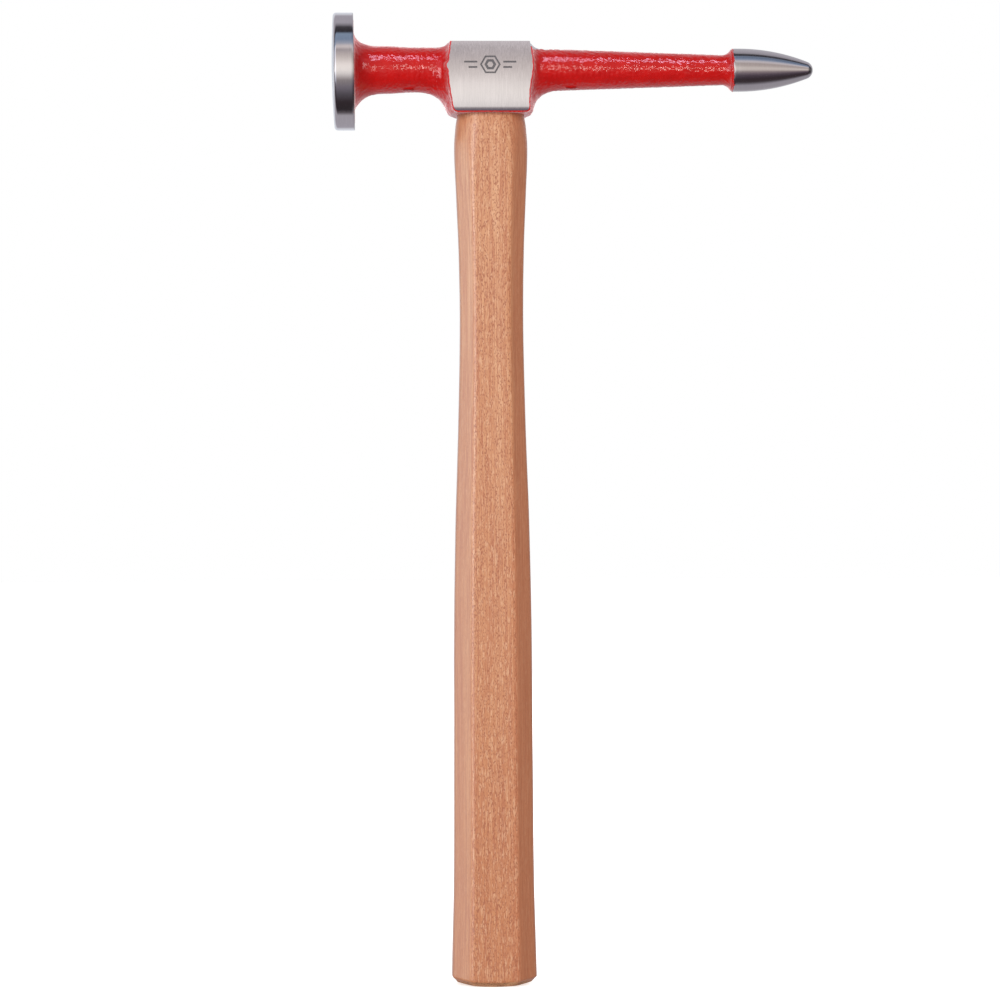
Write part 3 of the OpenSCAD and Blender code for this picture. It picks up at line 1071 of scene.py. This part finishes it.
def add_floor():
    """White paper under the hammer, which shows in no reflection and lights nothing."""
    half = 6000.0
    corners = [[-half, -half, 0], [half, -half, 0], [half, half, 0], [-half, half, 0]]
    ob = make_object("floor", corners, [(0, 1, 2, 3)])
    m = Nodes("floor_paper")
    m.set(Base_Color=(0.9, 0.9, 0.9, 1.0), Roughness=0.9)
    m.set(Emission_Color=(1, 1, 1, 1), Emission_Strength=0.6)
    ob.data.materials.append(m.material)
    ob.visible_glossy = False
    ob.visible_diffuse = False


# What the steel and the enamel reflect about the head's axis: degrees above the line from the
# head to the camera, and colour
BANDS = (
    (-180, (0.80, 0.84, 0.92)),
    (-152, (0.74, 0.76, 0.84)),
    (-140, (0.42, 0.40, 0.46)),
    (-95, (0.42, 0.40, 0.45)),
    (-88, (0.12, 0.105, 0.12)),
    (-80, (0.028, 0.022, 0.026)),
    (-60, (0.040, 0.030, 0.036)),
    (-44, (0.10, 0.090, 0.11)),
    (-30, (0.20, 0.18, 0.22)),
    (-16, (0.30, 0.27, 0.28)),
    (-10, (0.55, 0.51, 0.52)),
    (-4, (0.82, 0.78, 0.78)),
    (3, (1.02, 0.97, 0.95)),
    (10, (1.06, 1.00, 0.97)),
    (16, (0.99, 0.92, 0.90)),
    (22, (0.84, 0.77, 0.75)),
    (31, (0.66, 0.59, 0.58)),
    (38, (0.54, 0.48, 0.49)),
    (44, (0.41, 0.37, 0.39)),
    (50, (0.78, 0.70, 0.71)),
    (54, (0.62, 0.58, 0.62)),
    (57, (0.41, 0.44, 0.54)),
    (66, (0.23, 0.30, 0.43)),
    (80, (0.26, 0.34, 0.47)),
    (84, (0.034, 0.03, 0.036)),
    (98, (0.06, 0.055, 0.065)),
    (106, (0.30, 0.285, 0.33)),
    (112, (0.43, 0.41, 0.47)),
    (140, (0.42, 0.40, 0.46)),
    (152, (0.74, 0.76, 0.84)),
    (180, (0.80, 0.84, 0.92)),
)


# The same further to the right, as the shank and the point reflect it
RIGHT_BANDS = (
    (-180, (0.62, 0.62, 0.66)),
    (-150, (0.50, 0.49, 0.54)),
    (-132, (0.37, 0.35, 0.39)),
    (-90, (0.35, 0.33, 0.38)),
    (-78, (0.16, 0.145, 0.17)),
    (-68, (0.055, 0.043, 0.05)),
    (-52, (0.042, 0.030, 0.036)),
    (-40, (0.056, 0.041, 0.054)),
    (-28, (0.090, 0.068, 0.09)),
    (-17, (0.18, 0.14, 0.17)),
    (-7, (0.33, 0.27, 0.28)),
    (3, (0.65, 0.58, 0.56)),
    (13, (0.70, 0.63, 0.60)),
    (25, (0.52, 0.45, 0.44)),
    (37, (0.46, 0.40, 0.39)),
    (47, (0.67, 0.61, 0.64)),
    (54, (0.52, 0.52, 0.60)),
    (60, (0.28, 0.34, 0.47)),
    (72, (0.15, 0.20, 0.30)),
    (80, (0.20, 0.24, 0.33)),
    (86, (0.035, 0.03, 0.038)),
    (95, (0.055, 0.055, 0.065)),
    (103, (0.36, 0.34, 0.39)),
    (122, (0.45, 0.43, 0.49)),
    (150, (0.50, 0.49, 0.54)),
    (180, (0.62, 0.62, 0.66)),
)


class WorldNodes(Tree):
    """The world's node tree, and x, y and z of the direction it's seen in."""

    def __init__(self):
        world = bpy.data.worlds.new("studio")
        bpy.context.scene.world = world
        world.use_nodes = True
        world.cycles.sampling_method = "NONE"
        self.tree = world.node_tree
        self.tree.nodes.clear()
        place = self.add("ShaderNodeTexCoord").outputs["Generated"]
        split = self.add("ShaderNodeSeparateXYZ", [place])
        self.x, self.y, self.z = split.outputs

    def between(self, value, low, high, soft):
        """1 where value lies between low and high, fading over soft beside them."""
        up = self.add("ShaderNodeMapRange", [value, low - soft, low + soft],
                      interpolation_type="SMOOTHSTEP").outputs[0]
        down = self.add("ShaderNodeMapRange", [value, high - soft, high + soft, 1.0, 0.0],
                        interpolation_type="SMOOTHSTEP").outputs[0]
        return self.math("MULTIPLY", up, down)

    def glow(self, mask, colour, strength):
        """A background that shines with mask times strength."""
        node = self.add("ShaderNodeBackground", [(*colour, 1.0)])
        self.tree.links.new(self.math("MULTIPLY", mask, strength), node.inputs["Strength"])
        return node.outputs[0]

    def bands(self, degrees, stops):
        """A background whose colour follows an angle from -180 to 180 degrees."""
        share = self.add("ShaderNodeMapRange", [degrees, -180.0, 180.0]).outputs[0]
        colour = self.ramp(share, *(((at + 180) / 360, shade) for at, shade in stops))
        return self.add("ShaderNodeBackground", [colour, 1.0]).outputs[0]

    def sum(self, a, b):
        return self.add("ShaderNodeAddShader", [a, b]).outputs[0]

    def choose(self, factor, a, b):
        return self.add("ShaderNodeMixShader", [factor, a, b]).outputs[0]


# Parts of the world that glossy surfaces reflect: from, to and softness, along a direction's x
# or in degrees
RIGHT_SIDE = (0.065, 2.0, 0.035)
DARK_SIDE = (0.84, 2.0, 0.05)
WINDOW_SIDE = (-0.9, -0.5, 0.06)
WINDOW_RISE = (-25, 60, 6)


def add_world():
    """White to the camera, soft and plain to matt surfaces, and to glossy ones the bands about
    the head's axis, with a window on the left and darkness far to the right."""
    w = WorldNodes()
    angle = w.math("ARCTAN2", w.z, w.math("MULTIPLY", w.y, -1.0))
    degrees = w.math("ADD", w.math("MULTIPLY", angle, math.degrees(1.0)), HEAD_SIGHT)
    right = w.between(w.x, *RIGHT_SIDE)
    glossy = w.choose(right, w.bands(degrees, BANDS), w.bands(degrees, RIGHT_BANDS))
    window = w.math("MULTIPLY", w.between(w.x, *WINDOW_SIDE), w.between(degrees, *WINDOW_RISE))
    black = w.add("ShaderNodeBackground", [(0.02, 0.018, 0.02, 1.0), 1.0]).outputs[0]
    glossy = w.choose(w.math("MULTIPLY", w.between(w.x, *DARK_SIDE), 0.75), glossy, black)
    glossy = w.sum(glossy, w.glow(window, (0.8, 0.9, 1.1), 0.55))
    upward = w.add("ShaderNodeMapRange", [w.z, -1.0, 1.0, 0.64, 0.50]).outputs[0]
    plain = w.glow(upward, (1.0, 1.0, 1.0), 1.0)
    white = w.add("ShaderNodeBackground", [(1, 1, 1, 1), 1.0]).outputs[0]
    path = w.add("ShaderNodeLightPath")
    seen = w.choose(path.outputs["Is Glossy Ray"], plain, glossy)
    seen = w.choose(path.outputs["Is Camera Ray"], seen, white)
    w.add("ShaderNodeOutputWorld", [seen])


def area_light(name, place, aim, size, power, colour):
    """A soft light that shows in no reflection."""
    data = bpy.data.lights.new(name, "AREA")
    data.shape = "RECTANGLE"
    data.size, data.size_y = size
    data.energy = power
    data.color = colour
    ob = bpy.data.objects.new(name, data)
    bpy.context.collection.objects.link(ob)
    ob.location = place
    ob.rotation_euler = (Vector(aim) - Vector(place)).to_track_quat("-Z", "Y").to_euler()
    ob.visible_camera = False
    ob.visible_glossy = False
    return ob


def glint(name, place, aim, size, strength, colour, shown_on):
    """A lamp that shows only as its reflection in some of the pieces."""
    ob = area_light(name, place, aim, size, strength * math.pi * size[0] * size[1], colour)
    ob.visible_glossy = True
    ob.visible_diffuse = False
    only = bpy.data.collections.new(name)
    for piece in shown_on:
        only.objects.link(piece)
    ob.light_linking.receiver_collection = only


MIDDLE = Vector((0, 0, 0.18))
HEAD = Vector((0.02, 0, AXIS_Z * MM))


def head_lamp(name, rise, aside, size, strength, colour):
    """A lamp about one metre from the head, shown by the enamel. rise is its angle above the line
    from the head to the camera."""
    lift = math.radians(rise - HEAD_SIGHT)
    place = HEAD + Vector((aside, -math.cos(lift), math.sin(lift)))
    glint(name, place, HEAD, size, strength, colour, [coat])


add_camera()
add_floor()
add_world()
area_light("key", (-0.55, -1.7, 0.75), MIDDLE, (0.9, 0.9), 22, (1.0, 0.985, 0.97))
area_light("back", (0.8, 1.5, 0.8), MIDDLE, (1.2, 1.2), 24, (1.0, 1.0, 1.0))
for way in (-1, 1):
    head_lamp("high_lamp", 64, way * 0.22, (0.34, 0.22), 9, (1.0, 0.84, 1.14))
    head_lamp("front_lamp", 13, way * 0.25, (0.14, 0.20), 12, (1.0, 0.9, 0.85))
glint("left_lamp", (-1.2, -0.1, 0.2), MIDDLE, (1.0, 1.0), 2.2, (0.60, 0.98, 1.16), [handle])
glint("left_glow", (-1.2, -0.1, 0.48), HEAD, (1.0, 0.5), 2.2, (0.8, 0.98, 1.16), [coat])
glint("ridge_lamp", (-0.45, -0.90, 0.17), MIDDLE, (0.28, 1.0), 8.0, (0.84, 1.0, 1.10), [handle])
for name, x, rise, height in (("left_ticks", -0.70, -0.05, 0.5), ("right_ticks", 0.72, 0.3, 0.2)):
    place = (x, -0.7, HEAD.z + rise)
    glint(name, place, HEAD, (0.16, height), 8, (1.0, 0.97, 1.0), [coat])
bpy.context.scene.view_settings.view_transform = "Standard"
